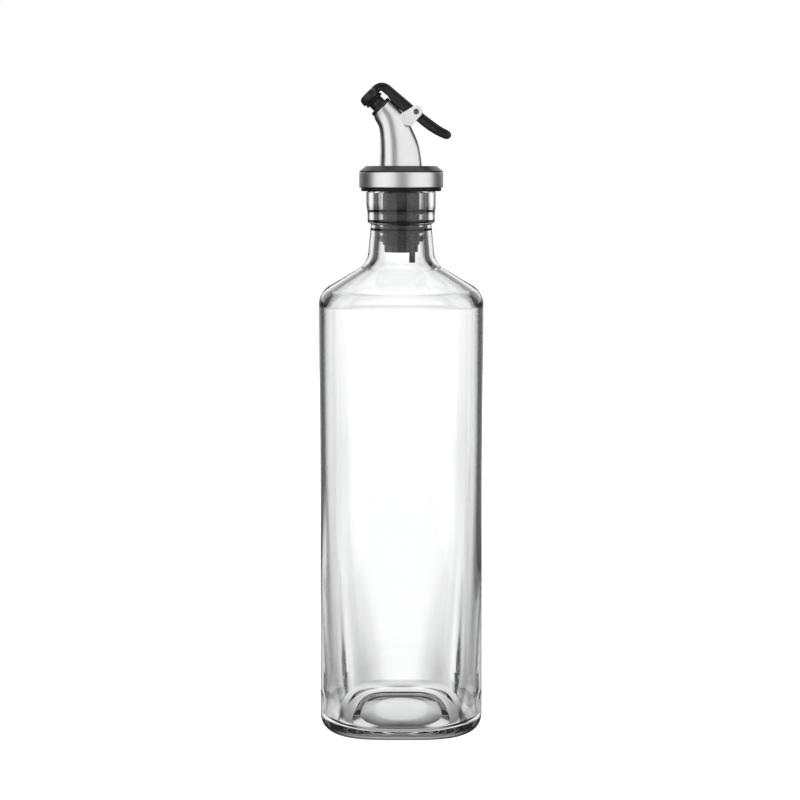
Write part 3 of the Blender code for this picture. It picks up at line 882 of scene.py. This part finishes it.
def world():
    """White to the camera, and dark in reflections. Through the glass it is a dark room with
    soft round windows: (bearing from the camera's side, height, inner and outer half widths)
    in degrees, and radiance. The first six are the bright wall behind the bottle, and the dark
    gaps beside them draw the glass's dark edges."""
    dark, in_reflections = 0.02, 0.03
    windows = (
        (180, -2, 6, 21, 1.2),
        (180, -14, 5, 19, 1.1),
        (170, -3, 5, 26, 0.92),
        (-170, -3, 5, 26, 0.92),
        (174, -13, 5, 16, 0.92),
        (-174, -13, 5, 16, 0.92),
        (-88, -3, 17, 27, 1.1),
        (80, -2, 13, 20, 0.8),
        (-50, -4, 14, 26, 0.8),
        (50, -10, 12, 24, 1.0),
        (-25, -8, 14, 26, 0.72),
        (25, -8, 14, 26, 0.72),
        (0, -8, 14, 26, 0.72),
        (-135, -28, 8, 18, 1.1),
        (135, -35, 8, 16, 1.0),
        (-153, -35, 8, 16, 1.0),
        (153, -35, 8, 16, 1.0),
        (-138, -6, 14, 30, 0.09),
        (138, -6, 14, 30, 0.09),
        (0, -90, 30, 60, 0.4),
        (0, 90, 25, 55, 0.4),
    )
    made = bpy.data.worlds.new("studio")
    bpy.context.scene.world = made
    made.use_nodes = True
    nodes, links = made.node_tree.nodes, made.node_tree.links
    place = nodes.new("ShaderNodeTexCoord")
    glow = None
    for bearing, height, inner, outer, radiance in windows:
        a, h = math.radians(bearing), math.radians(height)
        toward = nodes.new("ShaderNodeVectorMath")
        toward.operation = "DOT_PRODUCT"
        toward.inputs[1].default_value = (math.cos(h) * math.sin(a), -math.cos(h) * math.cos(a),
                                          math.sin(h))
        edge = nodes.new("ShaderNodeMapRange")
        edge.interpolation_type = "SMOOTHSTEP"
        edge.inputs["From Min"].default_value = math.cos(math.radians(outer))
        edge.inputs["From Max"].default_value = math.cos(math.radians(inner))
        edge.inputs["To Min"].default_value = dark
        edge.inputs["To Max"].default_value = radiance
        links.new(place.outputs["Generated"], toward.inputs[0])
        links.new(toward.outputs["Value"], edge.inputs["Value"])
        if glow is None:
            glow = edge.outputs["Result"]
            continue
        brighter = nodes.new("ShaderNodeMath")
        brighter.operation = "MAXIMUM"
        links.new(glow, brighter.inputs[0])
        links.new(edge.outputs["Result"], brighter.inputs[1])
        glow = brighter.outputs["Value"]
    seen = nodes.new("ShaderNodeLightPath")
    through = nodes.new("ShaderNodeMix")
    through.inputs["A"].default_value = in_reflections
    links.new(seen.outputs["Is Transmission Ray"], through.inputs["Factor"])
    links.new(glow, through.inputs["B"])
    room = nodes["Background"]
    links.new(through.outputs["Result"], room.inputs["Strength"])
    room.inputs["Color"].default_value = (1.0, 1.0, 1.0, 1.0)
    white = nodes.new("ShaderNodeBackground")
    white.inputs["Color"].default_value = (1.0, 1.0, 1.0, 1.0)
    mix = nodes.new("ShaderNodeMixShader")
    links.new(seen.outputs["Is Camera Ray"], mix.inputs["Fac"])
    links.new(room.outputs["Background"], mix.inputs[1])
    links.new(white.outputs["Background"], mix.inputs[2])
    links.new(mix.outputs["Shader"], nodes["World Output"].inputs["Surface"])


def camera():
    """In front of the bottle, level with its collar, and looking a little down."""
    lens = bpy.data.cameras.new("camera")
    lens.lens = 72.0
    lens.sensor_width = 36.0
    made = bpy.data.objects.new("camera", lens)
    bpy.context.scene.collection.objects.link(made)
    made.location = (-0.00048, -0.6545, 0.2287)
    made.rotation_euler = (math.radians(81.89), 0.0, 0.0)
    bpy.context.scene.camera = made


# ---------------------------------------------------------------- assembly

def main():
    """Light passes many surfaces in thick glass, so it is followed through many bounces."""
    plastic, rubber, metal = black_plastic(), black_rubber(), spout_metal()
    bottle_glass()
    rim_washer(rubber)
    steel_band(brushed_steel())
    collar_top(plastic)
    stopper_core(plastic)
    finned_sleeve(rubber)
    vent_tube(plastic)
    metal_spout(metal)
    spout_ears(ear_metal())
    lined_nozzle(plastic)
    lever_pin(pin_steel())
    thumb_lever(plastic)
    lever_head(plastic)
    tip_seal(rubber)
    torsion_spring(spring_steel())
    floor()
    lights()
    world()
    camera()
    bpy.context.scene.view_settings.view_transform = "Standard"
    cycles = bpy.context.scene.cycles
    cycles.max_bounces, cycles.glossy_bounces, cycles.transmission_bounces = 24, 16, 24


main()
